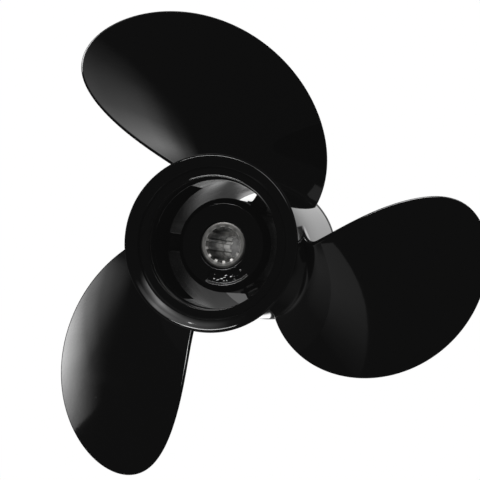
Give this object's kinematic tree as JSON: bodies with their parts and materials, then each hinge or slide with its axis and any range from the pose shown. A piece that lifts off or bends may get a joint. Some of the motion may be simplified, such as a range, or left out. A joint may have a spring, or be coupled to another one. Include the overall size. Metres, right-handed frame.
{
  "type": "outboard motor propeller",
  "caption": "Outboard-motor propeller with swept blades on a flared exhaust barrel, and a rubber-bushed splined metal sleeve in its ribbed hub.",
  "frame": {"origin": "on the shaft axis, in the plane of the barrel's forward rim, which the propeller stands on", "axes": "+Z along the shaft axis towards the aft, flared end; the first blade's root lies 78.3 degrees from +X towards +Y"},
  "size_m": [0.2554, 0.266, 0.14],
  "materials": {
    "black_paint": "gloss black paint over cast aluminium",
    "rubber": "matte",
    "sleeve_metal": "machined, a little oxidised"
  },
  "bodies": {
    "root": {"blade_1": "black_paint", "blade_2": "black_paint", "blade_3": "black_paint", "outer_barrel": "black_paint", "flared_ring": "black_paint", "throat_ring": "black_paint", "rib_1": "black_paint", "rib_2": "black_paint", "rib_3": "black_paint", "inner_hub": "black_paint", "rubber_bushing": "rubber", "splined_sleeve": "sleeve_metal"}
  },
  "joints": []
}
